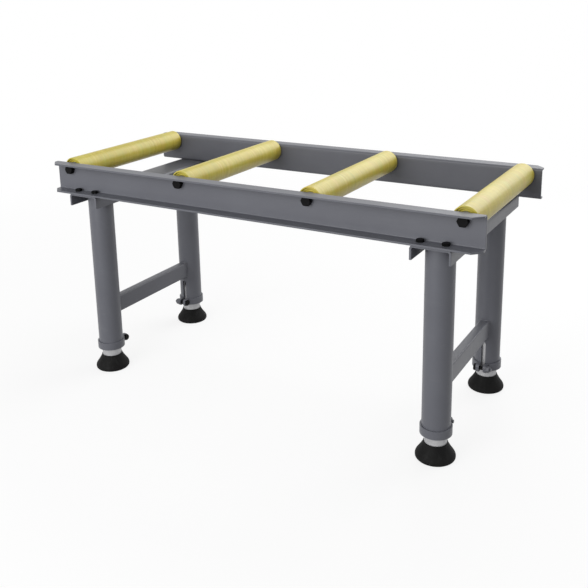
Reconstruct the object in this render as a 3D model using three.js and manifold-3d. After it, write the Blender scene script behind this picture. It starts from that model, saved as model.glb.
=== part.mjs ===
// Roller conveyor stand: two outward-facing channel rails carry four plated rollers
// on fixed axles, and stand on two leg frames with telescopic, clamped legs and rubber feet.
// Millimetres, +Z up, origin on the floor under the middle. X runs along the rails.
import * as THREE from 'three';
import { mergeVertices } from 'three/addons/utils/BufferGeometryUtils.js';
import Module from 'manifold-3d';

const wasm = await Module();
wasm.setup();

// Driving dimensions of the whole table
const tableHeight = 505;
const railLength = 1000;
const railGapWidth = 376;
const rollerCount = 4;
const endToAxle = 39.5;
const endToLeg = 91;
const webToLeg = 28;

// Clearances between pieces that are cut to each other or slide and turn in each other
const seatGap = 0.3;
const runningGap = 0.5;
const cutOverrun = 5;

// Rails, bent from sheet
const railHeight = 66;
const railReach = 32;
const railThickness = 4;
const railBendInner = 2;
const railCornerClip = 17;

// Rollers, their bearing housings and axles
const rollerDiameter = 50;
const rollerWall = 3;
const rollerEndGap = 3;
const rollerEdgeChamfer = 1;
const axleDrop = 15.8;
const axleDiameter = 20;
const axleTapDiameter = 12.6;
const axleTapDepth = 30;
const housingRecess = 3;
const housingDepth = 13;
const housingGrooveOuterShare = 0.86;
const housingGrooveInnerShare = 0.72;
const housingGrooveDepth = 2;
const bearingInnerDiameter = 27;

// Hexagon bolts that hold the axles in the rails
const axleBoltDiameter = 12;
const axleBoltAcrossFlats = 19;
const axleBoltHeadHeight = 10;
const axleBoltLength = 30;
const axleBoltHole = 13;

// Bolts that hold the rails on the leg frames, screwed into tapped cross members
const frameBoltDiameter = 8;
const frameBoltAcrossFlats = 13;
const frameBoltHeadHeight = 5.3;
const frameBoltTail = 2;
const frameBoltHole = 9;
const frameBoltSpacing = 48;

// Leg frames
const crossWidth = 78;
const crossDepth = 28;
const crossThickness = 4.5;
const crossBendInner = 2.5;
const crossSetback = 4;
const legDiameter = 56;
const legWall = 5.1;
const legBottom = 53;
const legSlotWidth = 9;
const legSlotTop = 119;
const stretcherWidth = 20;
const stretcherDepth = 40;
const stretcherWall = 2.5;
const stretcherBottom = 131;

// Clamp collars round the lower ends of the legs
const collarHeight = 17;
const collarWall = 3;
const earThickness = 7;
const earReach = 44;
const clampBoltDiameter = 8;
const clampBoltHole = 9;
const clampBoltAcrossFlats = 13;
const clampBoltHeadHeight = 5.3;
const clampBoltNutHeight = 6.5;
const clampBoltTail = 4;

// Sliding inner legs and rubber feet
const innerLegDiameter = 44.5;
const innerLegWall = 3;
const innerLegTopGap = 0.5;
const ventHoleWidth = 7;
const ventHoleHeight = 18;
const ventHoleCentre = 111;
const footDiameter = 78;
const footHeight = 35;
const footNeckWall = 1.2;
const footRimHeight = 8;
const footRimRound = 3;
const footFloor = 8;

// Facets round a circle
const tubeFacets = 24;
const rollerFacets = 24;
const axleFacets = 16;
const boltFacets = 10;
const bendFacets = 3;

// Derived sizes and places
const railTop = tableHeight;
const railBottom = tableHeight - railHeight;
const webInner = railGapWidth / 2;
const webOuter = webInner + railThickness;
const rollerPitch = (railLength - 2 * endToAxle) / (rollerCount - 1);
const legOffsetX = railLength / 2 - endToLeg;
const legOffsetY = webInner - webToLeg;
const railBendOuter = railBendInner + railThickness;
const railTip = webInner + railReach;
const axleHeight = railTop - axleDrop;
const rollerLength = railGapWidth - 2 * rollerEndGap;
const rollerRadius = rollerDiameter / 2;
const rollerBore = rollerRadius - rollerWall;
const housingRadius = rollerBore - seatGap;
const housingOuterEnd = rollerLength / 2 - housingRecess;
const housingInnerEnd = housingOuterEnd - housingDepth;
const bearingRadius = bearingInnerDiameter / 2;
const housingBore = bearingRadius + runningGap;
const crossTop = railBottom;
const crossUnder = crossTop - crossThickness;
const crossHalfLength = railTip - crossSetback;
const legRadius = legDiameter / 2;
const legBore = legRadius - legWall;
const innerLegRadius = innerLegDiameter / 2;
const collarBore = legRadius + seatGap;
const collarRadius = collarBore + collarWall;
const earBoltPlace = (collarRadius + earReach) / 2;
const frameBoltTap = frameBoltDiameter + 2 * seatGap;
const frameBoltCorner = frameBoltAcrossFlats / Math.sqrt(3);
const frameBoltPlace = webInner + railBendOuter + frameBoltCorner + runningGap;
const innerLegTop = crossUnder - innerLegTopGap;

// Materials
const greyPaint = { color: 0x67686d, roughness: 0.5, metalness: 0.1 };
const yellowZinc = { color: 0xcdc682, roughness: 0.34, metalness: 0.75 };
const blackOxide = { color: 0x17171a, roughness: 0.45, metalness: 0.6 };
const brightZinc = { color: 0xa3a4a6, roughness: 0.35, metalness: 0.8 };
const axleSteel = { color: 0x9c9c98, roughness: 0.3, metalness: 0.9 };
const blackRubber = { color: 0x1c1c1c, roughness: 0.75, metalness: 0 };

// A closed geometry as a solid that can be cut and joined
function solid(geometry) {
  const plain = geometry.clone();
  plain.deleteAttribute('normal');
  plain.deleteAttribute('uv');
  const merged = mergeVertices(plain);
  return new wasm.Manifold(new wasm.Mesh({
    numProp: 3,
    vertProperties: new Float32Array(merged.attributes.position.array),
    triVerts: new Uint32Array(merged.index.array),
  }));
}

// A solid back as a geometry with flat faces
function surface(body) {
  const mesh = body.getMesh();
  const geometry = new THREE.BufferGeometry();
  geometry.setAttribute('position', new THREE.BufferAttribute(new Float32Array(mesh.vertProperties), 3));
  geometry.setIndex(new THREE.BufferAttribute(new Uint32Array(mesh.triVerts), 1));
  const flat = geometry.toNonIndexed();
  flat.computeVertexNormals();
  return flat;
}

function box(x0, x1, y0, y1, z0, z1) {
  const geometry = new THREE.BoxGeometry(x1 - x0, y1 - y0, z1 - z0);
  geometry.translate((x0 + x1) / 2, (y0 + y1) / 2, (z0 + z1) / 2);
  return geometry;
}

// A cylinder along X, Y or Z that ends at the two given places on that axis
function rod(axis, radius, from, to, facets, turn = 0) {
  const geometry = new THREE.CylinderGeometry(radius, radius, to - from, facets, 1, false, turn);
  geometry.translate(0, (from + to) / 2, 0);
  if (axis === 'x') geometry.rotateZ(-Math.PI / 2);
  if (axis === 'z') geometry.rotateX(Math.PI / 2);
  return geometry;
}

// A tube along Z
function tube(outer, inner, z0, z1, facets) {
  const profile = [
    new THREE.Vector2(inner, z0),
    new THREE.Vector2(outer, z0),
    new THREE.Vector2(outer, z1),
    new THREE.Vector2(inner, z1),
    new THREE.Vector2(inner, z0),
  ];
  return new THREE.LatheGeometry(profile, facets).rotateX(Math.PI / 2);
}

// A bent channel section: the web stands at u = 0 and both flanges reach towards +u
function channelShape(height, reach, thickness, bendInner, facets) {
  const bendOuter = bendInner + thickness;
  const points = [];
  const arc = (cu, cv, radius, start, end) => {
    for (let i = 0; i <= facets; i += 1) {
      const a = start + (end - start) * i / facets;
      points.push(new THREE.Vector2(cu + radius * Math.cos(a), cv + radius * Math.sin(a)));
    }
  };
  arc(bendOuter, bendOuter, bendOuter, Math.PI, 1.5 * Math.PI);
  points.push(new THREE.Vector2(reach, 0));
  points.push(new THREE.Vector2(reach, thickness));
  arc(bendOuter, bendOuter, bendInner, 1.5 * Math.PI, Math.PI);
  arc(bendOuter, height - bendOuter, bendInner, Math.PI, Math.PI / 2);
  points.push(new THREE.Vector2(reach, height - thickness));
  points.push(new THREE.Vector2(reach, height));
  arc(bendOuter, height - bendOuter, bendOuter, Math.PI / 2, Math.PI);
  return new THREE.Shape(points);
}

const axleXs = [];
for (let i = 0; i < rollerCount; i += 1) {
  axleXs.push((i - (rollerCount - 1) / 2) * rollerPitch);
}
const frameBoltXs = [];
for (const side of [-1, 1]) {
  for (const end of [-1, 1]) {
    frameBoltXs.push(side * legOffsetX + end * frameBoltSpacing / 2);
  }
}

// Rail at the front, with its flanges towards -Y; the rear one is the same piece turned round
function railGeometry() {
  const shape = channelShape(railHeight, railReach, railThickness, railBendInner, bendFacets);
  const blank = new THREE.ExtrudeGeometry(shape, { depth: railLength, bevelEnabled: false });
  blank.translate(0, 0, -railLength / 2);
  const turn = new THREE.Matrix4().makeBasis(
    new THREE.Vector3(0, -1, 0), new THREE.Vector3(0, 0, 1), new THREE.Vector3(-1, 0, 0));
  blank.applyMatrix4(turn);
  blank.translate(0, -webInner, railBottom);
  let body = solid(blank);
  for (const x of axleXs) {
    const hole = rod('y', axleBoltHole / 2, -webOuter - cutOverrun, -webInner + cutOverrun, boltFacets);
    body = body.subtract(solid(hole.translate(x, 0, axleHeight)));
  }
  for (const x of frameBoltXs) {
    const bottom = railBottom - cutOverrun;
    const hole = rod('z', frameBoltHole / 2, bottom, railBottom + railThickness + cutOverrun, boltFacets);
    body = body.subtract(solid(hole.translate(x, -frameBoltPlace, 0)));
  }
  for (const end of [-1, 1]) {
    const clip = new THREE.Shape([
      new THREE.Vector2(railLength / 2 - railCornerClip, -railTip),
      new THREE.Vector2(railLength / 2 - railCornerClip - cutOverrun, -railTip - cutOverrun),
      new THREE.Vector2(railLength / 2 + cutOverrun, -railTip - cutOverrun),
      new THREE.Vector2(railLength / 2 + cutOverrun, -railTip + railCornerClip + cutOverrun),
    ]);
    const depth = railHeight + 2 * cutOverrun;
    const wedge = new THREE.ExtrudeGeometry(clip, { depth, bevelEnabled: false });
    wedge.translate(0, 0, railBottom - cutOverrun);
    if (end < 0) wedge.applyMatrix4(new THREE.Matrix4().makeRotationY(Math.PI))
      .translate(0, 0, 2 * railBottom + railHeight);
    body = body.subtract(solid(wedge));
  }
  return surface(body);
}

// Cross member of a leg frame: a channel with its open side down
function crossGeometry(x) {
  const shape = channelShape(crossWidth, crossDepth, crossThickness, crossBendInner, bendFacets);
  const blank = new THREE.ExtrudeGeometry(shape, { depth: 2 * crossHalfLength, bevelEnabled: false });
  blank.translate(0, 0, -crossHalfLength);
  const turn = new THREE.Matrix4().makeBasis(
    new THREE.Vector3(0, 0, -1), new THREE.Vector3(1, 0, 0), new THREE.Vector3(0, -1, 0));
  blank.applyMatrix4(turn);
  blank.translate(-crossWidth / 2, 0, crossTop);
  let body = solid(blank);
  for (const end of [-1, 1]) {
    for (const side of [-1, 1]) {
      const hole = rod('z', frameBoltTap / 2, crossUnder - cutOverrun, crossTop + cutOverrun, boltFacets);
      hole.translate(end * frameBoltSpacing / 2, side * frameBoltPlace, 0);
      body = body.subtract(solid(hole));
    }
  }
  return surface(body).translate(x, 0, 0);
}

// Outer leg tube with its clamping slot on the side that faces the table's middle line
function legGeometry(x, side) {
  let body = solid(tube(legRadius, legBore, legBottom, crossUnder, tubeFacets));
  const near = Math.min(0, -side * (legRadius + cutOverrun));
  const far = Math.max(0, -side * (legRadius + cutOverrun));
  const straightTop = legSlotTop - legSlotWidth / 2;
  const half = legSlotWidth / 2;
  body = body.subtract(solid(box(-half, half, near, far, legBottom - cutOverrun, straightTop)));
  body = body.subtract(solid(rod('y', half, near, far, boltFacets).translate(0, 0, straightTop)));
  return surface(body).translate(x, side * legOffsetY, 0);
}

// Rectangular tube between the two legs of a frame, cut to their round outsides
function stretcherGeometry(x) {
  const top = stretcherBottom + stretcherDepth;
  const half = stretcherWidth / 2;
  const inner = half - stretcherWall;
  let body = solid(box(-half, half, -legOffsetY, legOffsetY, stretcherBottom, top));
  const hollowEnd = legOffsetY + cutOverrun;
  const hollowLow = stretcherBottom + stretcherWall;
  const hollow = box(-inner, inner, -hollowEnd, hollowEnd, hollowLow, top - stretcherWall);
  body = body.subtract(solid(hollow));
  for (const side of [-1, 1]) {
    const cope = rod('z', legRadius + seatGap, stretcherBottom - cutOverrun, top + cutOverrun, tubeFacets);
    body = body.subtract(solid(cope.translate(0, side * legOffsetY, 0)));
  }
  return surface(body).translate(x, 0, 0);
}

// Split clamp collar with two ears towards the table's middle line
function collarGeometry(x, side) {
  const top = legBottom + collarHeight;
  const half = legSlotWidth / 2;
  let body = solid(tube(collarRadius, collarBore, legBottom, top, tubeFacets));
  const earStart = collarBore + collarWall / 4;
  const reach = collarRadius + cutOverrun;
  const cutNear = Math.min(0, -side * reach);
  const cutFar = Math.max(0, -side * reach);
  const split = box(-half, half, cutNear, cutFar, legBottom - cutOverrun, top + cutOverrun);
  body = body.subtract(solid(split));
  for (const hand of [-1, 1]) {
    const x0 = Math.min(hand * half, hand * (half + earThickness));
    const x1 = Math.max(hand * half, hand * (half + earThickness));
    const y0 = Math.min(-side * earStart, -side * earReach);
    const y1 = Math.max(-side * earStart, -side * earReach);
    body = body.add(solid(box(x0, x1, y0, y1, legBottom, top)));
  }
  const hole = rod('x', clampBoltHole / 2, -collarRadius, collarRadius, boltFacets);
  hole.translate(0, -side * earBoltPlace, legBottom + collarHeight / 2);
  body = body.subtract(solid(hole));
  return surface(body).translate(x, side * legOffsetY, 0);
}

// Hexagon bolt along Y: the head stands on y = 0 and the shank reaches towards -Y.
// A nut, where there is one, sits at the end of the grip.
function boltGeometry(size) {
  const corner = size.acrossFlats / Math.sqrt(3);
  let body = solid(rod('y', corner, 0, size.headHeight, 6, size.turn));
  const shank = rod('y', size.diameter / 2, -size.length, size.headHeight / 2, boltFacets);
  body = body.add(solid(shank));
  if (size.nutHeight) {
    const nut = rod('y', corner, -size.grip - size.nutHeight, -size.grip, 6, size.turn);
    body = body.add(solid(nut));
  }
  return surface(body);
}

// Sliding inner leg; one of them is turned so that its vent hole shows in the slot
function innerLegGeometry(x, side, ventSide) {
  let body = solid(tube(innerLegRadius, innerLegRadius - innerLegWall, footFloor, innerLegTop, tubeFacets));
  const near = Math.min(0, ventSide * (innerLegRadius + cutOverrun));
  const far = Math.max(0, ventSide * (innerLegRadius + cutOverrun));
  const half = ventHoleWidth / 2;
  const straight = (ventHoleHeight - ventHoleWidth) / 2;
  const vent = box(-half, half, near, far, ventHoleCentre - straight, ventHoleCentre + straight);
  body = body.subtract(solid(vent));
  for (const end of [-1, 1]) {
    const round = rod('y', half, near, far, boltFacets).translate(0, 0, ventHoleCentre + end * straight);
    body = body.subtract(solid(round));
  }
  return surface(body).translate(x, side * legOffsetY, 0);
}

// Rubber foot: a low rim, a cone and a short neck, flat underneath, with a socket for the inner leg
function footGeometry(x, side) {
  const rim = footDiameter / 2;
  const socket = innerLegRadius + seatGap;
  const neck = socket + footNeckWall;
  const slopeShares = [[0, 1], [0.15, 0.88], [0.45, 0.45], [0.68, 0.12], [1, 0]];
  const points = [new THREE.Vector2(0, 0), new THREE.Vector2(rim - footRimRound, 0)];
  points.push(new THREE.Vector2(rim - footRimRound * (1 - Math.SQRT1_2), footRimRound * (1 - Math.SQRT1_2)));
  points.push(new THREE.Vector2(rim, footRimRound));
  for (const [riseShare, outShare] of slopeShares) {
    const r = neck + (rim - neck) * outShare;
    points.push(new THREE.Vector2(r, footRimHeight + (footHeight - footRimHeight) * riseShare));
  }
  points.push(new THREE.Vector2(socket, footHeight));
  points.push(new THREE.Vector2(socket, footFloor));
  points.push(new THREE.Vector2(0, footFloor));
  const geometry = new THREE.LatheGeometry(points, tubeFacets).rotateX(Math.PI / 2);
  return surface(solid(geometry)).translate(x, side * legOffsetY, 0);
}

// Roller shell with chamfered end edges
function rollerGeometry(x) {
  const half = rollerLength / 2;
  const points = [
    new THREE.Vector2(rollerBore, -half),
    new THREE.Vector2(rollerRadius - rollerEdgeChamfer, -half),
    new THREE.Vector2(rollerRadius, -half + rollerEdgeChamfer),
    new THREE.Vector2(rollerRadius, half - rollerEdgeChamfer),
    new THREE.Vector2(rollerRadius - rollerEdgeChamfer, half),
    new THREE.Vector2(rollerBore, half),
    new THREE.Vector2(rollerBore, -half),
  ];
  return surface(solid(new THREE.LatheGeometry(points, rollerFacets))).translate(x, 0, axleHeight);
}

// Pressed bearing housing, recessed in the roller's end, with a ring groove in its face
function housingGeometry(x, side) {
  const outerGroove = housingRadius * housingGrooveOuterShare;
  const innerGroove = housingRadius * housingGrooveInnerShare;
  const grooveFloor = housingOuterEnd - housingGrooveDepth;
  const points = [
    new THREE.Vector2(housingBore, housingInnerEnd),
    new THREE.Vector2(housingRadius, housingInnerEnd),
    new THREE.Vector2(housingRadius, housingOuterEnd),
    new THREE.Vector2(outerGroove, housingOuterEnd),
    new THREE.Vector2(outerGroove, grooveFloor),
    new THREE.Vector2(innerGroove, grooveFloor),
    new THREE.Vector2(innerGroove, housingOuterEnd),
    new THREE.Vector2(housingBore, housingOuterEnd),
    new THREE.Vector2(housingBore, housingInnerEnd),
  ];
  const geometry = new THREE.LatheGeometry(points, rollerFacets);
  if (side < 0) geometry.rotateX(Math.PI);
  return surface(solid(geometry)).translate(x, 0, axleHeight);
}

// Fixed axle with tapped ends and the two bearing rings that sit on it
function axleGeometry(x) {
  const end = webInner;
  const radius = axleDiameter / 2;
  const tap = axleTapDiameter / 2;
  const points = [
    new THREE.Vector2(0, -end + axleTapDepth),
    new THREE.Vector2(tap, -end + axleTapDepth),
    new THREE.Vector2(tap, -end),
    new THREE.Vector2(radius, -end),
    new THREE.Vector2(radius, -housingOuterEnd),
    new THREE.Vector2(bearingRadius, -housingOuterEnd),
    new THREE.Vector2(bearingRadius, -housingInnerEnd),
    new THREE.Vector2(radius, -housingInnerEnd),
    new THREE.Vector2(radius, housingInnerEnd),
    new THREE.Vector2(bearingRadius, housingInnerEnd),
    new THREE.Vector2(bearingRadius, housingOuterEnd),
    new THREE.Vector2(radius, housingOuterEnd),
    new THREE.Vector2(radius, end),
    new THREE.Vector2(tap, end),
    new THREE.Vector2(tap, end - axleTapDepth),
    new THREE.Vector2(0, end - axleTapDepth),
  ];
  return surface(solid(new THREE.LatheGeometry(points, axleFacets))).translate(x, 0, axleHeight);
}

const table = new THREE.Group();

function place(name, geometry, look) {
  const mesh = new THREE.Mesh(geometry, new THREE.MeshStandardMaterial(look));
  mesh.name = name;
  table.add(mesh);
  return mesh;
}

// Rails
place('rail_front', railGeometry(), greyPaint);
place('rail_rear', railGeometry().rotateZ(Math.PI), greyPaint);

// Rollers with housings, axles and axle bolts
const axleBolt = {
  diameter: axleBoltDiameter,
  length: axleBoltLength,
  acrossFlats: axleBoltAcrossFlats,
  headHeight: axleBoltHeadHeight,
  turn: Math.PI / 6,
};
axleXs.forEach((x, index) => {
  const number = index + 1;
  place(`roller_${number}_shell`, rollerGeometry(x), yellowZinc);
  place(`roller_${number}_axle`, axleGeometry(x), axleSteel);
  for (const side of [-1, 1]) {
    const label = side < 0 ? 'front' : 'rear';
    place(`roller_${number}_housing_${label}`, housingGeometry(x, side), yellowZinc);
    const bolt = boltGeometry(axleBolt);
    if (side < 0) bolt.rotateX(Math.PI);
    bolt.translate(x, side * webOuter, axleHeight);
    place(`roller_${number}_bolt_${label}`, bolt, blackOxide);
  }
});

// Leg frames
const frameBolt = {
  diameter: frameBoltDiameter,
  length: railThickness + crossThickness + frameBoltTail,
  acrossFlats: frameBoltAcrossFlats,
  headHeight: frameBoltHeadHeight,
  turn: 0,
};
const clampGrip = legSlotWidth + 2 * earThickness;
const clampBolt = {
  diameter: clampBoltDiameter,
  length: clampGrip + clampBoltNutHeight + clampBoltTail,
  acrossFlats: clampBoltAcrossFlats,
  headHeight: clampBoltHeadHeight,
  nutHeight: clampBoltNutHeight,
  grip: clampGrip,
  turn: 0,
};
for (const end of [-1, 1]) {
  const endLabel = end < 0 ? 'left' : 'right';
  const x = end * legOffsetX;
  place(`cross_member_${endLabel}`, crossGeometry(x), greyPaint);
  place(`stretcher_${endLabel}`, stretcherGeometry(x), greyPaint);
  for (const side of [-1, 1]) {
    const label = `${side < 0 ? 'front' : 'rear'}_${endLabel}`;
    const ventSide = end < 0 && side > 0 ? -side : side;
    place(`leg_${label}`, legGeometry(x, side), greyPaint);
    place(`collar_${label}`, collarGeometry(x, side), greyPaint);
    place(`inner_leg_${label}`, innerLegGeometry(x, side, ventSide), brightZinc);
    place(`foot_${label}`, footGeometry(x, side), blackRubber);
    const clamp = boltGeometry(clampBolt);
    clamp.rotateZ(end * Math.PI / 2);
    clamp.translate(-end * clampGrip / 2, 0, 0);
    clamp.translate(x, side * (legOffsetY - earBoltPlace), legBottom + collarHeight / 2);
    place(`clamp_bolt_${label}`, clamp, blackOxide);
    for (const hand of [-1, 1]) {
      const bolt = boltGeometry(frameBolt).rotateX(Math.PI / 2);
      const boltX = x + hand * frameBoltSpacing / 2;
      bolt.translate(boltX, side * frameBoltPlace, railBottom + railThickness);
      place(`frame_bolt_${label}_${hand < 0 ? 'a' : 'b'}`, bolt, blackOxide);
    }
  }
}

export default table;
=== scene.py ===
"""Dressed model of a roller conveyor table: enamelled channel rails, zinc plated rollers,
clamped telescopic legs and rubber feet, in a pale studio."""

import math

import bmesh
import bpy
import numpy as np
from mathutils import Matrix


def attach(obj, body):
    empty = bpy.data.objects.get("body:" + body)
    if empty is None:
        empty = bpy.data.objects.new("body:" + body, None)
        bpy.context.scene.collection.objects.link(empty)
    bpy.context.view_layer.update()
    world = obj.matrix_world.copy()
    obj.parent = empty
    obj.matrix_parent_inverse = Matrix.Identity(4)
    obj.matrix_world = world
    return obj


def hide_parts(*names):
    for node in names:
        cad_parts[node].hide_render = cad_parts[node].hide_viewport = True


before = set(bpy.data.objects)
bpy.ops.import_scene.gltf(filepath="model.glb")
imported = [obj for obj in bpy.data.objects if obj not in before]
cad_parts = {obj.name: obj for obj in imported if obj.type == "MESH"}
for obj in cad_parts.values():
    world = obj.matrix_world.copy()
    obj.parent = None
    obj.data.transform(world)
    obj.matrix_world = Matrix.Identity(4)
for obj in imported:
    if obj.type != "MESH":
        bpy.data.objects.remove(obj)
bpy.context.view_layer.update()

MM = 0.001

# Meshes, in metres and degrees: nearer points merge, shorter edges go, sharper edges get a round
SAME_POINT = 1e-7
NO_LENGTH = 1e-8
ROUND_FROM = 50.0

# Camera: angles in degrees, lengths in millimetres, and the focal length and the shift in
# pixels of a picture as wide as the photograph
VIEW_AZIMUTH = 30.93
VIEW_ELEVATION = 14.12
VIEW_ROLL = -1.235
VIEW_TARGET = (-34.3, 26.0, 446.7)
VIEW_DISTANCE = 1852.9
PICTURE_WIDTH = 588
FOCAL_PIXELS = 822.8
SHIFT_PIXELS = (12.4, -108.0)
SENSOR_WIDTH = 36.0

# Studio, in metres: half the floor's width, and where the studio's lamps point
FLOOR_HALF = 14.0
LAMP_AIM = (0, 0, 0.3)
# From low, from high, to low, to high: the floor's glow over the distance from the middle,
# and its tone for light that bounces and for light that is seen
FLOOR_GLOW = (0.6, 2.2, 0.82, 1.0)
FLOOR_TONE = (0.0, 1.0, 0.18, 0.9)
SURROUND = {"light": 0.50, "white": 1.0}
# Lamps: place, width, height, and power in watts
LAMPS = {"lamp_above": ((0.55, 1.6, 1.75), 2.3, 1.5, 34.0),
         "lamp_front": ((-0.5, -2.6, 1.0), 2.2, 2.2, 57.0)}

# Rails, in millimetres like every size below
RAIL_TOP = 505.0
RAIL_HEIGHT = 66.0
RAIL_BOTTOM = RAIL_TOP - RAIL_HEIGHT
RAIL_LENGTH = 1000.0
RAIL_REACH = 32.0
RAIL_SHEET = 4.0
RAIL_BEND = 2.0
RAIL_CLIP = 17.0
WEB_INNER = 188.0
WEB_OUTER = WEB_INNER + RAIL_SHEET

# Rollers and axles
ROLLER_PITCH = 307.0
ROLLER_RADIUS = 25.0
ROLLER_WALL = 3.0
ROLLER_HALF = 185.0
AXLE_HEIGHT = RAIL_TOP - 15.8
AXLE_RADIUS = 10.0
HOUSING_RADIUS = ROLLER_RADIUS - ROLLER_WALL - 0.3
HOUSING_OUTER_END = ROLLER_HALF - 3.0
HOUSING_INNER_END = HOUSING_OUTER_END - 13.0
HOUSING_GROOVE = (0.72 * HOUSING_RADIUS, 0.86 * HOUSING_RADIUS)
HOUSING_CHAMFER = (0.3, 1.0)
GROOVE_DEPTH = 2.0
BEARING_RADIUS = 13.5
BEARING_SEAT = BEARING_RADIUS + 0.5
SEAT_STEP = 1.2
SEAT_LIP = 0.8
ROLLER_EDGE = 1.1
TURNED_EDGE = 0.5
AXLE_BORE = 6.3
AXLE_BORE_END = 158.0

# Leg frames
LEG_X = 409.0
LEG_Y = 160.0
LEG_RADIUS = 28.0
LEG_BORE = 22.9
LEG_BOTTOM = 53.0
CROSS_SHEET = 4.5
CROSS_BEND = 2.5
CROSS_UNDER = RAIL_BOTTOM - CROSS_SHEET
CROSS_WIDTH = 78.0
CROSS_DEPTH = 28.0
CROSS_HALF = 216.0
SLOT_HALF = 4.5
SLOT_TOP = 119.0
STRETCHER_HALF = 10.0
STRETCHER_DEPTH = 40.0
STRETCHER_BOTTOM = 131.0
STRETCHER_WALL = 2.5
STRETCHER_CORNER = 3.5
STRETCHER_GAP = 0.2

# Welds: each bead's radius, and how far its middle line stands out and down
STRETCHER_WELD = 2.0
STRETCHER_WELD_OUT = 0.9
LEG_WELD = 2.2
LEG_WELD_OUT = 0.8
LEG_WELD_DOWN = 1.4

# Rounds on cut edges
SHEET_EDGE = 0.7
LEG_EDGE = 0.5
TUBE_EDGE = 0.4
COLLAR_EDGE = 1.2

# Columns round a slotted tube, and those across its slot
TUBE_COLUMNS = 72
SLOT_COLUMNS = 9

# Bolts: width across flats, head height, the washer face's radius and height, shank radius
M12_BOLT = (19.0, 10.0, 9.2, 0.5, 6.0)
M8_BOLT = (13.0, 5.3, 6.3, 0.4, 4.0)
M8_FLATS, M8_RADIUS = M8_BOLT[0], M8_BOLT[-1]
M8_PITCH = 1.25
FACE_LAP = 0.1
SHANK_LAP = 0.3
HEAD_DISH = 0.15
AXLE_BOLT_REACH = 30.0
FRAME_BOLT_TIP = 2.0
FRAME_BOLT_SPREAD = 24.0
FRAME_BOLT_GAP = 0.5
CLAMP_BOLT_TIP = 4.0
NUT_HEIGHT = 6.5

# Clamps, inner legs and feet
COLLAR_HEIGHT = 17.0
COLLAR_BORE = LEG_RADIUS + 0.3
COLLAR_WALL = 3.0
EAR_SHEET = 7.0
EAR_REACH = 44.0
EAR_ROUND = 5.5
CLAMP_GRIP = 2 * (SLOT_HALF + EAR_SHEET)
INNER_RADIUS = 22.25
INNER_WALL = 3.0
INNER_TOP = CROSS_UNDER - 0.5
VENT_HALF = 3.5
VENT_HEIGHT = 18.0
VENT_CENTRE = 111.0
FOOT_FLOOR = 8.0
FOOT_HEIGHT = 35.0
FOOT_RADIUS = 39.0
FOOT_RIM_HEIGHT = 8.0
FOOT_EDGE = 3.0
FOOT_SOCKET = INNER_RADIUS + 0.3
FOOT_NECK = FOOT_SOCKET + 1.2
FOOT_SLOPE = ((0.0, 1.0), (0.13, 0.90), (0.47, 0.47), (0.86, 0.05), (1.0, 0.0))


# ---- camera -----------------------------------------------------------------

def aim_camera():
    """Puts the camera at the photograph's viewpoint, with its small roll."""
    azimuth, elevation = math.radians(VIEW_AZIMUTH), math.radians(VIEW_ELEVATION)
    roll, target = math.radians(VIEW_ROLL), np.array(VIEW_TARGET) * MM
    back = np.array([math.sin(azimuth) * math.cos(elevation),
                     -math.cos(azimuth) * math.cos(elevation), math.sin(elevation)])
    right = np.array([math.cos(azimuth), math.sin(azimuth), 0.0])
    up = np.cross(back, right)
    c, s = math.cos(roll), math.sin(roll)
    right, up = c * right + s * up, c * up - s * right
    data = bpy.data.cameras.new("photo_camera")
    data.sensor_width = SENSOR_WIDTH
    data.lens = SENSOR_WIDTH * FOCAL_PIXELS / PICTURE_WIDTH
    data.shift_x, data.shift_y = (shift / PICTURE_WIDTH for shift in SHIFT_PIXELS)
    data.clip_end = 50.0
    camera = bpy.data.objects.new("photo_camera", data)
    bpy.context.scene.collection.objects.link(camera)
    camera.matrix_world = facing(right, up, back, target + back * (VIEW_DISTANCE * MM))
    bpy.context.scene.camera = camera


def facing(right, up, back, place):
    """The matrix of an object whose own axes lie along three directions, at a place."""
    rows = np.eye(4)
    rows[:3, 0], rows[:3, 1], rows[:3, 2], rows[:3, 3] = right, up, back, place
    return Matrix(rows.tolist())


# ---- surfaces ---------------------------------------------------------------

def cells(rows, columns, wrap_rows=False, wrap_columns=False):
    """The four corner numbers of every cell of a grid, row by row."""
    i = np.arange(rows if wrap_rows else rows - 1)[:, None]
    j = np.arange(columns if wrap_columns else columns - 1)[None, :]
    down, along = (i + 1) % rows, (j + 1) % columns
    corners = [i * columns + j, i * columns + along, down * columns + along, down * columns + j]
    return np.stack(np.broadcast_arrays(*corners), axis=-1)


def sheet(outer, inner, keep=None, wrap_columns=False):
    """A wall with two faces: the outer and inner grids hold matching points, kept cells become
    faces on both, and every free edge of the kept cells is bridged from one grid to the other."""
    rows, columns = outer.shape[:2]
    quads = cells(rows, columns, wrap_columns=wrap_columns)
    quads = quads[keep] if keep is not None else quads.reshape(-1, 4)
    count = rows * columns
    starts, ends = quads.ravel(), np.roll(quads, -1, axis=1).ravel()
    free = ~np.isin(starts * count + ends, ends * count + starts)
    a, b = starts[free], ends[free]
    rim = np.stack([b, a, a + count, b + count], axis=1)
    points = np.concatenate([outer.reshape(-1, 3), inner.reshape(-1, 3)])
    return points, np.concatenate([quads, quads[:, ::-1] + count, rim])


def turned(profile, columns=96, radius_rule=None):
    """A profile of (radius, height) points turned about Z. Where a rule is given, it maps the
    angles and the profile to the radius at each angle, so hexagons and threads come out too."""
    angle = np.linspace(0, 2 * math.pi, columns, endpoint=False)
    profile = np.asarray(profile, float)
    height = np.repeat(profile[:, 1:2], columns, axis=1)
    radius = np.repeat(profile[:, :1], columns, axis=1)
    if radius_rule is not None:
        radius = radius_rule(angle[None, :], radius, height)
    points = np.stack([radius * np.cos(angle), radius * np.sin(angle), height], axis=-1)
    return points.reshape(-1, 3), cells(len(profile), columns, wrap_columns=True).reshape(-1, 4)


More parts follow.
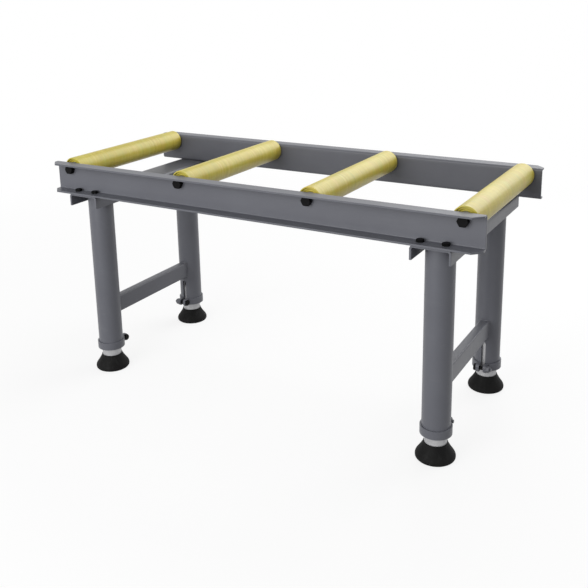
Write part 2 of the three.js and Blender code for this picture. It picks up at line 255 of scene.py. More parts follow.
def rounded(corners, radius, steps=5):
    """An open line of corners with each inner corner replaced by an arc, which starts no further
    off than 0.45 of the shorter side: the point at share t of the arc is the quadratic blend of
    the two tangent points and the corner."""
    corners = np.asarray(corners, float)
    corner = corners[1:-1]
    back, ahead = corners[:-2] - corner, corners[2:] - corner
    reach_back = np.linalg.norm(back, axis=1, keepdims=True)
    reach_ahead = np.linalg.norm(ahead, axis=1, keepdims=True)
    r = np.minimum(radius, 0.45 * np.minimum(reach_back, reach_ahead))
    enter, leave = corner + back * r / reach_back, corner + ahead * r / reach_ahead
    t = np.linspace(0, 1, steps)[None, :, None]
    arcs = ((1 - t) ** 2 * enter[:, None] + 2 * t * (1 - t) * corner[:, None]
            + t ** 2 * leave[:, None])
    return np.concatenate([corners[:1], arcs.reshape(-1, 2), corners[-1:]])


def rounded_rectangle(half, low, high, radius, steps=7):
    """A closed outline, counterclockwise: each corner's centre lies a radius inside the
    rectangle, and its arc turns a quarter."""
    turn = np.linspace(0, math.pi / 2, steps)[None, :] + np.arange(4)[:, None] * math.pi / 2
    centre_u = np.array([1, -1, -1, 1])[:, None] * (half - radius)
    centre_v = np.array([high - radius, high - radius, low + radius, low + radius])[:, None]
    line = np.stack([centre_u + radius * np.cos(turn), centre_v + radius * np.sin(turn)], -1)
    return line.reshape(-1, 2)


def evenly(line, count):
    """Points at even distances along a closed outline."""
    closed = np.concatenate([line, line[:1]])
    run = np.concatenate([[0], np.cumsum(np.linalg.norm(np.diff(closed, axis=0), axis=1))])
    even = np.linspace(0, run[-1], count, endpoint=False)
    return np.stack([np.interp(even, run, closed[:, 0]), np.interp(even, run, closed[:, 1])], -1)


def bead(path, radius, ripple=0.14, pitch=3.2, sides=10):
    """A weld bead along a closed path: a round section whose radius swells and shrinks by the
    ripple share with the cosine of the distance run, once each pitch."""
    after, before = np.roll(path, -1, axis=0), np.roll(path, 1, axis=0)
    along = after - before
    along /= np.linalg.norm(along, axis=1, keepdims=True)
    steps = np.linalg.norm(after - path, axis=1)
    run, total = np.cumsum(steps) - steps, steps.sum()
    waves = max(8, round(total / pitch))
    swell = radius * (1 + ripple * np.cos(2 * math.pi * waves * run / total))
    outward = path - path.mean(axis=0)
    outward -= along * (outward * along).sum(axis=1, keepdims=True)
    outward /= np.linalg.norm(outward, axis=1, keepdims=True)
    across = np.cross(along, outward)
    angle = np.linspace(0, 2 * math.pi, sides, endpoint=False)[None, :, None]
    ring = np.cos(angle) * outward[:, None] + np.sin(angle) * across[:, None]
    points = path[:, None] + ring * swell[:, None, None]
    return points.reshape(-1, 3), cells(len(path), sides, True, True).reshape(-1, 4)


def joined(*surfaces):
    """Several surfaces as one list of points and one of faces."""
    starts = np.cumsum([0] + [len(points) for points, _ in surfaces])
    faces = [f + start for (_, f), start in zip(surfaces, starts)]
    return np.concatenate([points for points, _ in surfaces]), np.concatenate(faces)


def outwards(surface):
    """The same closed surface with its faces turned so that its enclosed volume is positive."""
    points, faces = surface
    a, b, c, d = (points[faces[:, k]] for k in range(4))
    volume = (np.cross(a, b) * c).sum() + (np.cross(a, c) * d).sum()
    return points, (faces if volume > 0 else faces[:, ::-1])


def moved(surface, place=(0, 0, 0), x=(1, 0, 0), y=(0, 1, 0), z=(0, 0, 1)):
    """The surface with its own axes laid along x, y and z, set at a place."""
    points, faces = surface
    return points @ np.array([x, y, z], float) + np.array(place, float), faces


def piece(name, surface, finish, body, node=None, bevel=0.0, smooth=35):
    """Makes the object: millimetres become metres, doubles merge, and edges get a small round."""
    points, faces = surface
    mesh = bpy.data.meshes.new(name)
    mesh.from_pydata((points * MM).tolist(), [], faces.tolist())
    work = bmesh.new()
    work.from_mesh(mesh)
    bmesh.ops.remove_doubles(work, verts=work.verts, dist=SAME_POINT)
    bmesh.ops.dissolve_degenerate(work, edges=work.edges, dist=NO_LENGTH)
    bmesh.ops.delete(work, geom=[v for v in work.verts if not v.link_faces], context="VERTS")
    work.to_mesh(mesh)
    work.free()
    mesh.polygons.foreach_set("use_smooth", np.ones(len(mesh.polygons), bool))
    mesh.set_sharp_from_angle(angle=math.radians(smooth))
    mesh.materials.append(finish.material)
    made = bpy.data.objects.new(name, mesh)
    bpy.context.scene.collection.objects.link(made)
    if bevel:
        edge = made.modifiers.new("edge_round", "BEVEL")
        edge.width, edge.segments = bevel * MM, 2
        edge.limit_method, edge.angle_limit = "ANGLE", math.radians(ROUND_FROM)
        edge.harden_normals = True
    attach(made, body)
    if node:
        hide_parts(node)
    return made


# ---- finishes ---------------------------------------------------------------

class Wire:
    """A shader socket that adds a Math node for each operator used on it."""

    def __init__(self, finish, socket):
        self.finish, self.socket = finish, socket

    def math(self, operation, *values):
        return self.finish.node("Math", {"operation": operation}, values)

    def __add__(self, other): return self.math("ADD", self, other)
    def __radd__(self, other): return self.math("ADD", other, self)
    def __sub__(self, other): return self.math("SUBTRACT", self, other)
    def __rsub__(self, other): return self.math("SUBTRACT", other, self)
    def __mul__(self, other): return self.math("MULTIPLY", self, other)
    def __rmul__(self, other): return self.math("MULTIPLY", other, self)


class Finish:
    """A material: a Principled shader whose sockets are fed by expressions."""

    def __init__(self, name, slot, **constants):
        self.slot = slot
        self.material = bpy.data.materials.new(name)
        self.material.use_nodes = True
        self.tree = self.material.node_tree
        self.tree.nodes.clear()
        self.shader = self.tree.nodes.new("ShaderNodeBsdfPrincipled")
        end = self.tree.nodes.new("ShaderNodeOutputMaterial")
        self.tree.links.new(self.shader.outputs[0], end.inputs["Surface"])
        self.place = self.node("TexCoord", output="Object")
        self.set(**constants)

    def node(self, kind, settings=None, values=(), output=0):
        """Any other node: its settings come first, then the values or links of its sockets."""
        made = self.tree.nodes.new("ShaderNode" + kind)
        for key, value in (settings or {}).items():
            if key == "stops":
                ramp = made.color_ramp
                while len(ramp.elements) < len(value):
                    ramp.elements.new(0.5)
                for stop, (position, colour) in zip(ramp.elements, value):
                    stop.position, stop.color = position, (*colour, 1)
            else:
                setattr(made, key, value)
        for key, value in (values.items() if isinstance(values, dict) else enumerate(values)):
            self.feed(made.inputs[key], value)
        return Wire(self, made.outputs[output])

    def feed(self, socket, value):
        if isinstance(value, Wire):
            self.tree.links.new(value.socket, socket)
        else:
            socket.default_value = value

    def set(self, **sockets):
        for name, value in sockets.items():
            self.feed(self.shader.inputs[name.replace("_", " ")], value)

    def noise(self, scale, detail=3.0, roughness=0.55, stretch=(1, 1, 1)):
        """Noise from 0 to 1 on the piece's own places, multiplied by stretch first."""
        place = self.node("Mapping", None, {"Vector": self.place, "Scale": stretch})
        return self.node("TexNoise", None, {"Vector": place, "Scale": scale, "Detail": detail,
                                            "Roughness": roughness})

    def share(self, value, low, high):
        """0 below low, 1 above high, straight between them."""
        return self.node("MapRange", None, {"Value": value, "From Min": low, "From Max": high})

    def ramp(self, factor, *stops):
        return self.node("ValToRGB", {"stops": stops}, (factor,))

    def blend(self, factor, first, second):
        second = second if isinstance(second, Wire) else (*second, 1)
        return self.node("Mix", {"data_type": "RGBA"}, {0: factor, 6: first, 7: second}, 2)

    def bump(self, height, depth, strength=0.5):
        return self.node("Bump", None, {"Height": height, "Distance": depth, "Strength": strength})


def grey_enamel():
    """Satin grey enamel: slow clouds in the colour, orange peel, and faint rubbed streaks."""
    finish = Finish("grey_enamel", "grey_paint", Metallic=0.0, Specular_IOR_Level=0.36)
    cloud, peel = finish.noise(9.0, 4.0), finish.noise(420.0, 2.0)
    streak = finish.noise(60.0, 4.0, 0.65, (0.15, 1.0, 1.0))
    rubbed = finish.share(streak, 0.58, 0.80)
    base = finish.ramp(cloud, (0.3, (0.117, 0.120, 0.139)), (0.7, (0.133, 0.137, 0.157)))
    finish.set(Base_Color=finish.blend(rubbed * 0.35, base, (0.160, 0.162, 0.178)),
               Roughness=0.34 + cloud * 0.10 - rubbed * 0.05,
               Normal=finish.bump(peel, 0.00012))
    return finish


def yellow_zinc():
    """Yellow passivated zinc: straw, greenish and rosy patches under turning rings, some pale,
    some dark, that also change how sharply the tube shines."""
    finish = Finish("yellow_zinc", "yellow_zinc", Metallic=0.0, Specular_IOR_Level=0.65)
    patch = finish.noise(16.0, 4.0, 0.6, (1.0, 0.55, 1.0))
    tint = finish.noise(42.0, 3.0, 0.6, (0.5, 1.0, 0.5))
    bands = finish.noise(70.0, 5.0, 0.75, (0.10, 2.2, 0.10))
    rings = finish.noise(70.0, 3.0, 0.6, (0.05, 10.0, 0.05))
    straw = finish.ramp(patch, (0.30, (0.48, 0.385, 0.032)), (0.52, (0.55, 0.450, 0.045)),
                        (0.74, (0.61, 0.515, 0.075)))
    green = finish.blend(finish.share(tint, 0.50, 0.72) * 0.5, straw, (0.46, 0.47, 0.070))
    rose = finish.blend(finish.share(tint, 0.46, 0.26) * 0.4, green, (0.60, 0.39, 0.080))
    pale = finish.blend(finish.share(bands, 0.52, 0.70) * 0.5, rose, (0.70, 0.63, 0.20))
    dark = finish.blend(finish.share(bands, 0.47, 0.28) * 0.5, pale, (0.36, 0.28, 0.025))
    finish.set(Base_Color=dark, Roughness=0.24 + bands * 0.26 + rings * 0.08,
               Normal=finish.bump(rings, 0.00008, 0.4))
    return finish


def black_oxide():
    """Oiled black oxide on bolt heads."""
    finish = Finish("black_oxide", "black_oxide", Metallic=0.0, Specular_IOR_Level=0.07)
    wear = finish.noise(260.0, 4.0)
    base = finish.ramp(wear, (0.35, (0.002, 0.002, 0.0022)), (0.75, (0.007, 0.007, 0.0075)))
    finish.set(Base_Color=base, Roughness=0.42 + wear * 0.2,
               Normal=finish.bump(wear, 0.0001, 0.4))
    return finish


def bright_zinc():
    """Bright zinc on inner legs: pale spangle and faint lengthwise drawing lines."""
    finish = Finish("bright_zinc", "bright_zinc", Metallic=0.4)
    spangle = finish.noise(70.0, 4.0, 0.6)
    lines = finish.noise(240.0, 2.0, 0.5, (1.0, 1.0, 0.04))
    base = finish.ramp(spangle, (0.3, (0.40, 0.40, 0.41)), (0.7, (0.52, 0.52, 0.53)))
    finish.set(Base_Color=base, Roughness=0.32 + lines * 0.18,
               Normal=finish.bump(lines, 0.00008, 0.4))
    return finish


def turned_steel():
    """Plain turned steel of the axles and bearing rings."""
    finish = Finish("turned_steel", "axle_steel", Metallic=0.8)
    rings, cloud = finish.noise(90.0, 2.0, 0.5, (0.05, 10.0, 0.05)), finish.noise(40.0, 3.0)
    base = finish.ramp(cloud, (0.3, (0.27, 0.26, 0.24)), (0.7, (0.38, 0.37, 0.35)))
    finish.set(Base_Color=base, Roughness=0.28 + rings * 0.2,
               Normal=finish.bump(rings, 0.0001, 0.4))
    return finish


def black_rubber():
    """Moulded rubber: fine pores, a little dust, and faint lighter streaks down the sides that are
    painted sheen.
    """
    finish = Finish("black_rubber", "black_rubber", Metallic=0.0, Specular_IOR_Level=0.12)
    pores, dust = finish.noise(900.0, 3.0, 0.7), finish.noise(45.0, 5.0, 0.6)
    streak = finish.noise(110.0, 3.0, 0.6, (1.0, 1.0, 0.12))
    base = finish.ramp(dust, (0.4, (0.0045, 0.0045, 0.0045)), (0.8, (0.0110, 0.0108, 0.0105)))
    # painted sheen: lighter vertical streaks blended into the colour stand in for light glancing
    # off the rubber's sides
    painted_sheen = finish.blend(finish.share(streak, 0.52, 0.72) * 0.5, base, (0.019, 0.019, 0.019))
    finish.set(Base_Color=painted_sheen, Roughness=0.55 + dust * 0.2,
               Normal=finish.bump(pores, 0.0001, 0.4))
    return finish


# ---- rails and leg frames ---------------------------------------------------

def channel(height, reach, thickness, bend, stations, reach_at=None):
    """A bent channel: flange, bend arc, web, bend arc, flange, for the outer and the inner side,
    repeated at each station, with the flange points spread over the reach at that station."""
    outer_bend = bend + thickness
    share = np.linspace(1, 0, 6)
    arc = np.linspace(1.5 * math.pi, math.pi, 9)
    rise = np.linspace(outer_bend, height - outer_bend, 8)[1:-1]
    reaches = np.full(len(stations), reach) if reach_at is None else reach_at(stations)
    on_flange = np.concatenate([share * 0 + 1, arc * 0, rise * 0, arc * 0, share * 0 + 1])
    spread = np.concatenate([share, arc * 0, rise * 0, arc * 0, share[::-1]])

    def side(radius, offset):
        low_u, low_v = outer_bend + radius * np.cos(arc), outer_bend + radius * np.sin(arc)
        u = np.concatenate([share * 0, low_u, rise * 0 + offset, low_u[::-1], share * 0])
        v = np.concatenate([share * 0 + offset, low_v, rise, height - low_v[::-1],
                            share * 0 + height - offset])
        us = u + on_flange * (outer_bend + spread * (reaches[:, None] - outer_bend))
        return np.stack([us, v + us * 0, stations[:, None] + us * 0], -1)

    return sheet(side(outer_bend, 0.0), side(bend, thickness))


def make_rail(name, side, finish):
    """A rail with its flanges outwards, whose reach shrinks with the distance past each clip."""
    half = RAIL_LENGTH / 2
    straight = half - RAIL_CLIP

    def clipped(x):
        return RAIL_REACH - np.clip(np.abs(x) - straight, 0, RAIL_CLIP)

    stations = np.concatenate([[-half], np.linspace(-straight, straight, 25), [half]])
    body = channel(RAIL_HEIGHT, RAIL_REACH, RAIL_SHEET, RAIL_BEND, stations, clipped)
    body = moved(body, (0, side * WEB_INNER, RAIL_BOTTOM), (0, side, 0), (0, 0, 1), (1, 0, 0))
    piece(name, outwards(body), finish, "frame", name, bevel=SHEET_EDGE)


def make_cross_member(name, x, finish):
    """A channel across the table with its flanges down, under the rails' lower flanges."""
    stations = np.linspace(-CROSS_HALF, CROSS_HALF, 13)
    body = channel(CROSS_WIDTH, CROSS_DEPTH, CROSS_SHEET, CROSS_BEND, stations)
    body = moved(body, (x - CROSS_WIDTH / 2, 0, RAIL_BOTTOM), (0, 0, -1), (1, 0, 0), (0, 1, 0))
    piece(name, outwards(body), finish, "frame", name, bevel=SHEET_EDGE)


def slotted_tube(outer_radius, inner_radius, levels, half, open_rows, angle, top=None,
                 bottom=None):
    """A tube along Z whose first columns stand at even steps across a slot at one angle and the
    rest at even angles: the slot's cells are left out of the open rows, and the row at a closed
    end follows a half circle of the slot's width."""
    across = np.linspace(-half, half, SLOT_COLUMNS)
    heights = np.repeat(np.asarray(levels, float)[:, None], TUBE_COLUMNS, axis=1)
    bulge = np.sqrt(np.maximum(half ** 2 - across ** 2, 0))
    if top is not None:
        heights[top, :SLOT_COLUMNS] += bulge
    if bottom is not None:
        heights[bottom, :SLOT_COLUMNS] -= bulge

    def wall(radius):
        edge = math.asin(half / radius)
        rest = np.linspace(edge, 2 * math.pi - edge, TUBE_COLUMNS - SLOT_COLUMNS + 2)[1:-1]
        turn = angle + np.concatenate([np.arcsin(across / radius), rest])[None, :] + heights * 0
        return np.stack([radius * np.cos(turn), radius * np.sin(turn), heights], -1)

    keep = np.ones((len(levels) - 1, TUBE_COLUMNS), bool)
    keep[open_rows[0]:open_rows[1], :SLOT_COLUMNS - 1] = False
    return sheet(wall(outer_radius), wall(inner_radius), keep, wrap_columns=True)


def make_leg(name, x, side, finish):
    """A leg from collar to cross member, slotted from its bottom up towards the middle line."""
    levels = [LEG_BOTTOM, 64.0, 80.0, 98.0, SLOT_TOP - SLOT_HALF, SLOT_TOP + 8, 180.0, 260.0,
              340.0, 400.0, CROSS_UNDER]
    body = slotted_tube(LEG_RADIUS, LEG_BORE, levels, SLOT_HALF, open_rows=(0, 4),
                        angle=-side * math.pi / 2, top=4)
    body = moved(body, (x, side * LEG_Y, 0))
    piece(name, outwards(body), finish, "frame", name, bevel=LEG_EDGE)


def leg_surface(x, clearance):
    """How far from the middle line a leg's round outside stands at an offset x."""
    return LEG_Y - np.sqrt((LEG_RADIUS + clearance) ** 2 - x ** 2)


def make_stretcher(name, x, finish):
    """A rectangular tube with round corners: each line along it ends on the legs' outsides."""
    def wall(inset, radius):
        line = rounded_rectangle(STRETCHER_HALF - inset, STRETCHER_BOTTOM + inset,
                                 STRETCHER_BOTTOM + STRETCHER_DEPTH - inset, radius)
        run = np.linspace(-1, 1, 9)[:, None] * leg_surface(line[:, 0], STRETCHER_GAP)[None]
        return np.stack([line[:, 0] + run * 0, run, line[:, 1] + run * 0], -1)

    body = sheet(wall(0.0, STRETCHER_CORNER),
                 wall(STRETCHER_WALL, STRETCHER_CORNER - STRETCHER_WALL), wrap_columns=True)
    piece(name, outwards(moved(body, (x, 0, 0))), finish, "frame", name, bevel=TUBE_EDGE)


def make_stretcher_welds(name, x, finish):
    """A bead round each end of a stretcher, along the leg's round outside."""
    line = evenly(rounded_rectangle(STRETCHER_HALF, STRETCHER_BOTTOM,
                                    STRETCHER_BOTTOM + STRETCHER_DEPTH, STRETCHER_CORNER), 150)
    reach = leg_surface(line[:, 0], STRETCHER_WELD_OUT)
    paths = [np.stack([line[:, 0] + x, side * reach, line[:, 1]], -1) for side in (-1, 1)]
    beads = [outwards(bead(path, STRETCHER_WELD)) for path in paths]
    piece(name, joined(*beads), finish, "frame", smooth=60)


def make_leg_weld(name, x, side, finish):
    """A bead round the top of a leg, under the cross member."""
    angle = np.linspace(0, 2 * math.pi, 180, endpoint=False)
    ring = LEG_RADIUS + LEG_WELD_OUT
    path = np.stack([x + ring * np.cos(angle), side * LEG_Y + ring * np.sin(angle),
                     angle * 0 + CROSS_UNDER - LEG_WELD_DOWN], -1)
    piece(name, outwards(bead(path, LEG_WELD)), finish, "frame", smooth=60)


# ---- bolts ------------------------------------------------------------------

def hexagon(across_flats, low, high, both_ends=False):
    """A hexagon prism: the radius at each angle is half the width over the cosine of the angle
    to the nearest flat, and a 30 degree cone that starts at the flats' circle cuts its ends."""
    flat = across_flats / 2
    depth = flat * (2 / math.sqrt(3) - 1) / math.sqrt(3) * 1.02
    steps = np.linspace(0, depth, 6)
    levels = np.concatenate([low + steps * both_ends, high - steps[::-1]])

    def rule(angle, radius, height):
        nearest = (angle + math.pi / 6) % (math.pi / 3) - math.pi / 6
        cone = flat + (high - height) * math.sqrt(3)
        if both_ends:
            cone = np.minimum(cone, flat + (height - low) * math.sqrt(3))
        return np.minimum(np.minimum(flat / np.cos(nearest), cone), radius)

    profile = [(0, low), (flat * 0.9, low)] + [(across_flats, level) for level in levels]
    profile += [(flat * 0.9, high), (flat * 0.5, high - HEAD_DISH), (0, high - HEAD_DISH)]
    return outwards(turned(profile, 72, rule))


def threaded_end(radius, low, high, pitch):
    """A threaded shank end that points down: the radius drops from the crest by a triangle wave
    of the height minus the turn's share of the pitch, and a cone cuts its tip."""
    levels = np.linspace(low, high, max(6, int((high - low) / pitch * 10)))
    tip = radius - 0.8

    def rule(angle, base, height):
        wave = np.abs(((height - low) / pitch - angle / (2 * math.pi)) % 1.0 - 0.5) * 2
        thread, cone = radius - 0.55 * pitch * wave, tip + (height - low)
        return np.minimum(np.minimum(base, thread), cone)

    profile = [(0, low), (tip - 0.1, low)] + [(radius, z) for z in levels] + [(0, high)]
    return outwards(turned(profile, 36, rule))


def rod(radius, low, high):
    """A round bar along Z with small rounds on its ends."""
    outline = [(0, low), (radius, low), (radius, high), (0, high)]
    return outwards(turned(rounded(outline, 0.25, 3), 48))


def bolt(size, reach):
    """A bolt seated at height 0: hexagon head on a washer face, and a shank that reaches down."""
    flats, head, face_radius, face_height, shank_radius = size
    return joined(hexagon(flats, face_height, head), rod(face_radius, 0.0, face_height + FACE_LAP),
                  rod(shank_radius, -reach, SHANK_LAP))


def make_axle_bolt(name, x, side, finish):
    """Bolt with its head on the rail's web, turned so that two flats lie level."""
    body = moved(bolt(M12_BOLT, AXLE_BOLT_REACH), (x, side * WEB_OUTER, AXLE_HEIGHT),
                 (0, 0, side), (1, 0, 0), (0, side, 0))
    piece(name, body, finish, "frame", name, smooth=30)


def make_frame_bolt(name, x, y, finish):
    """Bolt with its head on the rail's lower flange, screwed through the cross member."""
    grip = RAIL_SHEET + CROSS_SHEET
    tip = threaded_end(M8_RADIUS, -grip - FRAME_BOLT_TIP, -grip, M8_PITCH)
    body = moved(joined(bolt(M8_BOLT, grip), tip), (x, y, RAIL_BOTTOM + RAIL_SHEET))
    piece(name, body, finish, "frame", name, smooth=30)


def make_clamp_bolt(label, x, side, end, dark, grey):
    """Bolt through both ears of a clamp, head towards the middle of the table; its end and the
    nut stand outside and are painted over with the clamp."""
    seat = (COLLAR_BORE + COLLAR_WALL + EAR_REACH) / 2
    place = (x - end * CLAMP_GRIP / 2, side * (LEG_Y - seat), LEG_BOTTOM + COLLAR_HEIGHT / 2)
    laid = dict(x=(0, 0, 1), y=(0, -end, 0), z=(-end, 0, 0))
    nut_end = -CLAMP_GRIP - NUT_HEIGHT
    headed = bolt(M8_BOLT, -nut_end - 0.5)
    nut = joined(hexagon(M8_FLATS, nut_end, -CLAMP_GRIP, both_ends=True),
                 threaded_end(M8_RADIUS, nut_end - CLAMP_BOLT_TIP, nut_end, M8_PITCH))
    name = f"clamp_bolt_{label}"
    piece(name, moved(headed, place, **laid), dark, "frame", name, smooth=30)
    piece(f"clamp_nut_{label}", moved(nut, place, **laid), grey, "frame", smooth=30)


# ---- clamps, inner legs and feet ---------------------------------------------

def make_collar(name, x, side, finish):
    """A strip of ear, ring and ear in plan, whose inner and outer lines match point for point;
    its half height shrinks over the last of each ear as a quarter circle does."""
    ring_out = COLLAR_BORE + COLLAR_WALL
    far = SLOT_HALF + EAR_SHEET
    ear_tip = EAR_REACH - EAR_ROUND * np.linspace(0, 1, 10)[:-1] ** 1.5

    def line(offset, radius):
        ear = np.concatenate([ear_tip, np.linspace(EAR_REACH - EAR_ROUND,
                                                   math.sqrt(radius ** 2 - offset ** 2), 6)])
        start = math.asin(offset / radius)
        turn = np.linspace(start, 2 * math.pi - start, 81)[1:-1]
        u = np.concatenate([ear * 0 + offset, radius * np.sin(turn), ear * 0 - offset])
        return u, np.concatenate([ear, radius * np.cos(turn), ear[::-1]])

    inner_u, inner_v = line(SLOT_HALF, COLLAR_BORE)
    past = np.clip((inner_v - (EAR_REACH - EAR_ROUND)) / EAR_ROUND, 0, 1)
    half = COLLAR_HEIGHT / 2 - EAR_ROUND * (1 - np.sqrt(1 - past ** 2))
    levels = np.array([-1.0, -0.4, 0.4, 1.0])[:, None] * half[None]

    def wall(u, v):
        return np.stack([u + levels * 0, v + levels * 0, levels], -1)

    body = sheet(wall(*line(far, ring_out)), wall(inner_u, inner_v))
    middle = LEG_BOTTOM + COLLAR_HEIGHT / 2
    body = moved(body, (x, side * LEG_Y, middle), (1, 0, 0), (0, -side, 0), (0, 0, 1))
    piece(name, outwards(body), finish, "frame", name, bevel=COLLAR_EDGE)


def make_inner_leg(name, x, side, facing_side, body_name, finish):
    """A tube from the foot's socket to just under the cross member, with an oblong vent hole on
    one side."""
    straight = VENT_HEIGHT / 2 - VENT_HALF
    levels = [FOOT_FLOOR, 30.0, 60.0, VENT_CENTRE - 17, VENT_CENTRE - straight,
              VENT_CENTRE + straight, VENT_CENTRE + 17, 180.0, 260.0, 340.0, INNER_TOP]
    body = slotted_tube(INNER_RADIUS, INNER_RADIUS - INNER_WALL, levels, VENT_HALF,
                        open_rows=(4, 5), angle=facing_side * math.pi / 2, top=5, bottom=4)
    body = moved(body, (x, side * LEG_Y, 0))
    piece(name, outwards(body), finish, body_name, name, bevel=TUBE_EDGE)


def make_foot(name, x, side, body_name, finish):
    """A low rim, a cone and a short neck turned about Z, with a socket for the inner leg: the
    slope's points are shares of the rise above the rim and of the step from neck to rim."""
    rise, step = FOOT_HEIGHT - FOOT_RIM_HEIGHT, FOOT_RADIUS - FOOT_NECK
    slope = [(FOOT_NECK + step * out, FOOT_RIM_HEIGHT + rise * up) for up, out in FOOT_SLOPE]
    corners = [(0, 0), (FOOT_RADIUS - FOOT_EDGE, 0), (FOOT_RADIUS, FOOT_EDGE), *slope,
               (FOOT_SOCKET, FOOT_HEIGHT), (FOOT_SOCKET, FOOT_FLOOR), (0, FOOT_FLOOR)]
    body = outwards(turned(rounded(corners, FOOT_EDGE, 7), 96))
    piece(name, moved(body, (x, side * LEG_Y, 0)), finish, body_name, name, smooth=45)


# ---- rollers ----------------------------------------------------------------

def make_roller(number, x, zinc, steel, oxide):
    """Shell, recessed housings with ring grooves, fixed axle and its bolts, all turned about Y."""
    across = dict(x=(1, 0, 0), y=(0, 0, -1), z=(0, 1, 0))
    centre = (x, 0, AXLE_HEIGHT)
    name = f"roller_{number}"
    bore = ROLLER_RADIUS - ROLLER_WALL
    tube = [(bore, 0), (bore, -ROLLER_HALF), (ROLLER_RADIUS, -ROLLER_HALF),
            (ROLLER_RADIUS, ROLLER_HALF), (bore, ROLLER_HALF), (bore, 0)]
    shell = outwards(turned(rounded(tube, ROLLER_EDGE, 6), 128))
    piece(f"{name}_tube", moved(shell, centre, **across), zinc, name, f"{name}_shell")

    out, inner, rim, seat = HOUSING_OUTER_END, HOUSING_INNER_END, HOUSING_RADIUS, BEARING_SEAT
    (groove_in, groove_out), (chamfer_in, chamfer_down) = HOUSING_GROOVE, HOUSING_CHAMFER
    lip, step, groove = seat + SEAT_LIP, out - SEAT_STEP, out - GROOVE_DEPTH
    face = [(seat, inner), (seat, step), (lip, step), (lip, out), (groove_in, out),
            (groove_in, groove), (groove_out, groove), (groove_out, out),
            (rim - chamfer_in, out), (rim, out - chamfer_down), (rim, inner), (seat, inner)]
    for side, label in ((-1, "front"), (1, "rear")):
        disc = outwards(turned(rounded(face, TURNED_EDGE, 4), 96))
        disc = moved(disc, centre, (1, 0, 0), (0, 0, -side), (0, side, 0))
        piece(f"{name}_end_{label}", disc, zinc, name, f"{name}_housing_{label}", smooth=50)
        make_axle_bolt(f"{name}_bolt_{label}", x, side, oxide)

    half = [(0, -AXLE_BORE_END), (AXLE_BORE, -AXLE_BORE_END), (AXLE_BORE, -WEB_INNER),
            (AXLE_RADIUS, -WEB_INNER), (AXLE_RADIUS, -out), (BEARING_RADIUS, -out),
            (BEARING_RADIUS, -inner), (AXLE_RADIUS, -inner)]
    line = np.array(half + [(r, -h) for r, h in half[::-1]], float)
    axle = outwards(turned(rounded(line, TURNED_EDGE, 4), 64))
    piece(f"{name}_shaft", moved(axle, centre, **across), steel, "frame", f"{name}_axle")


# ---- studio -----------------------------------------------------------------

def node_links(tree, kinds):
    """Clears a node tree and gives it nodes of the listed kinds, by short name."""
    tree.nodes.clear()
    nodes = {name: tree.nodes.new("ShaderNode" + kind) for name, kind in kinds.items()}
    return nodes, tree.links.new


def sees_background(nodes, link):
    """1 for camera, glossy and transmission rays, so that metal shows the white studio too."""
    nodes["first"].operation = nodes["both"].operation = "MAXIMUM"
    link(nodes["path"].outputs["Is Camera Ray"], nodes["first"].inputs[0])
    link(nodes["path"].outputs["Is Glossy Ray"], nodes["first"].inputs[1])
    link(nodes["first"].outputs[0], nodes["both"].inputs[0])
    link(nodes["path"].outputs["Is Transmission Ray"], nodes["both"].inputs[1])
    return nodes["both"].outputs[0]


def make_floor():
    """A pale floor: what is seen of it is mostly white, fully white far out, and keeps the
    shadow; light that bounces off it meets a darker tone, so undersides stay dark."""
    corners = np.array([(-1, -1, 0), (1, -1, 0), (1, 1, 0), (-1, 1, 0)], float) * FLOOR_HALF
    mesh = bpy.data.meshes.new("studio_floor")
    mesh.from_pydata(corners.tolist(), [], [(0, 1, 2, 3)])
    floor = bpy.data.objects.new("studio_floor", mesh)
    bpy.context.scene.collection.objects.link(floor)
    material = bpy.data.materials.new("studio_floor")
    material.use_nodes = True
    kinds = dict(end="OutputMaterial", mix="MixShader", matt="BsdfDiffuse", glow="Emission",
                 path="LightPath", first="Math", both="Math", place="TexCoord", reach="VectorMath",
                 fade="MapRange", seen="Math", tone="MapRange")
    nodes, link = node_links(material.node_tree, kinds)
    nodes["reach"].operation, nodes["seen"].operation = "LENGTH", "MULTIPLY"
    for name, numbers in (("fade", FLOOR_GLOW), ("tone", FLOOR_TONE)):
        for key, value in zip(("From Min", "From Max", "To Min", "To Max"), numbers):
            nodes[name].inputs[key].default_value = value
    link(nodes["place"].outputs["Object"], nodes["reach"].inputs[0])
    link(nodes["reach"].outputs["Value"], nodes["fade"].inputs["Value"])
    sees = sees_background(nodes, link)
    link(sees, nodes["tone"].inputs["Value"])
    link(nodes["tone"].outputs[0], nodes["matt"].inputs["Color"])
    link(sees, nodes["seen"].inputs[0])
    link(nodes["fade"].outputs[0], nodes["seen"].inputs[1])
    link(nodes["seen"].outputs[0], nodes["mix"].inputs[0])
    link(nodes["matt"].outputs[0], nodes["mix"].inputs[1])
    link(nodes["glow"].outputs[0], nodes["mix"].inputs[2])
    link(nodes["mix"].outputs[0], nodes["end"].inputs["Surface"])
    mesh.materials.append(material)


def make_surround():
    """A world that is white where it is seen or mirrored, and lights the object softly."""
    world = bpy.data.worlds.new("studio")
    bpy.context.scene.world = world
    world.use_nodes = True
    kinds = dict(end="OutputWorld", mix="MixShader", light="Background", white="Background",
                 path="LightPath", first="Math", both="Math")
    nodes, link = node_links(world.node_tree, kinds)
    for name, strength in SURROUND.items():
        nodes[name].inputs["Color"].default_value = (1, 1, 1, 1)
        nodes[name].inputs["Strength"].default_value = strength
    link(sees_background(nodes, link), nodes["mix"].inputs[0])
    link(nodes["light"].outputs[0], nodes["mix"].inputs[1])
    link(nodes["white"].outputs[0], nodes["mix"].inputs[2])
    link(nodes["mix"].outputs[0], nodes["end"].inputs["Surface"])


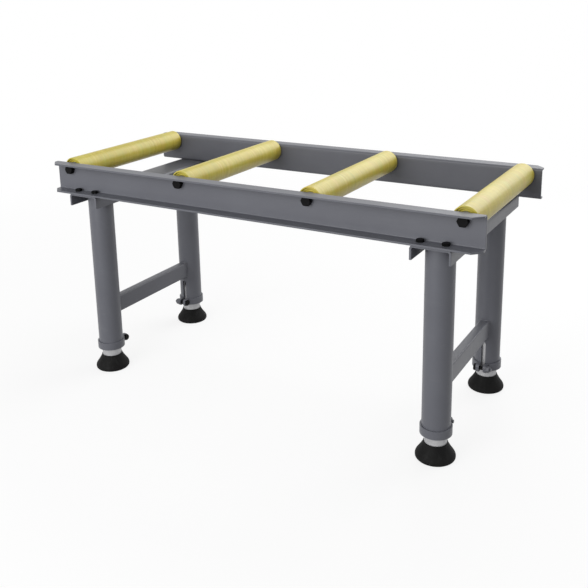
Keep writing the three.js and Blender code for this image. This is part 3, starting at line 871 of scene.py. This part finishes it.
def make_lamps():
    """Soft lamps: one above and behind, whose sheen lies on the rollers, and one in front."""
    for name, (place, width, height, power) in LAMPS.items():
        data = bpy.data.lights.new(name, "AREA")
        data.shape, data.size, data.size_y, data.energy = "RECTANGLE", width, height, power
        lamp = bpy.data.objects.new(name, data)
        bpy.context.scene.collection.objects.link(lamp)
        back = np.array(place) - np.array(LAMP_AIM)
        back /= np.linalg.norm(back)
        right = np.cross([0, 1, 0.001], back)
        right /= np.linalg.norm(right)
        lamp.matrix_world = facing(right, np.cross(back, right), back, place)


def build():
    """Makes the camera, every piece from the rails down to the feet, and the studio."""
    aim_camera()
    enamel, zinc, oxide = grey_enamel(), yellow_zinc(), black_oxide()
    bright, steel, rubber = bright_zinc(), turned_steel(), black_rubber()
    make_rail("rail_front", -1, enamel)
    make_rail("rail_rear", 1, enamel)
    for number in range(1, 5):
        make_roller(number, (number - 2.5) * ROLLER_PITCH, zinc, steel, oxide)
    bolt_y = WEB_OUTER + RAIL_BEND + M8_FLATS / math.sqrt(3) + FRAME_BOLT_GAP
    for end, end_label in ((-1, "left"), (1, "right")):
        x = end * LEG_X
        make_cross_member(f"cross_member_{end_label}", x, enamel)
        make_stretcher(f"stretcher_{end_label}", x, enamel)
        make_stretcher_welds(f"stretcher_welds_{end_label}", x, enamel)
        for side, side_label in ((-1, "front"), (1, "rear")):
            label = f"{side_label}_{end_label}"
            slides = f"foot_{label}_slide"
            make_leg(f"leg_{label}", x, side, enamel)
            make_leg_weld(f"leg_weld_{label}", x, side, enamel)
            make_collar(f"collar_{label}", x, side, enamel)
            make_clamp_bolt(label, x, side, end, oxide, enamel)
            facing_side = -side if label == "rear_left" else side
            make_inner_leg(f"inner_leg_{label}", x, side, facing_side, slides, bright)
            make_foot(f"foot_{label}", x, side, slides, rubber)
            for hand, letter in ((-1, "a"), (1, "b")):
                make_frame_bolt(f"frame_bolt_{label}_{letter}", x + hand * FRAME_BOLT_SPREAD,
                                side * bolt_y, oxide)
    make_floor()
    make_surround()
    make_lamps()
    bpy.context.scene.view_settings.view_transform = "Standard"


build()
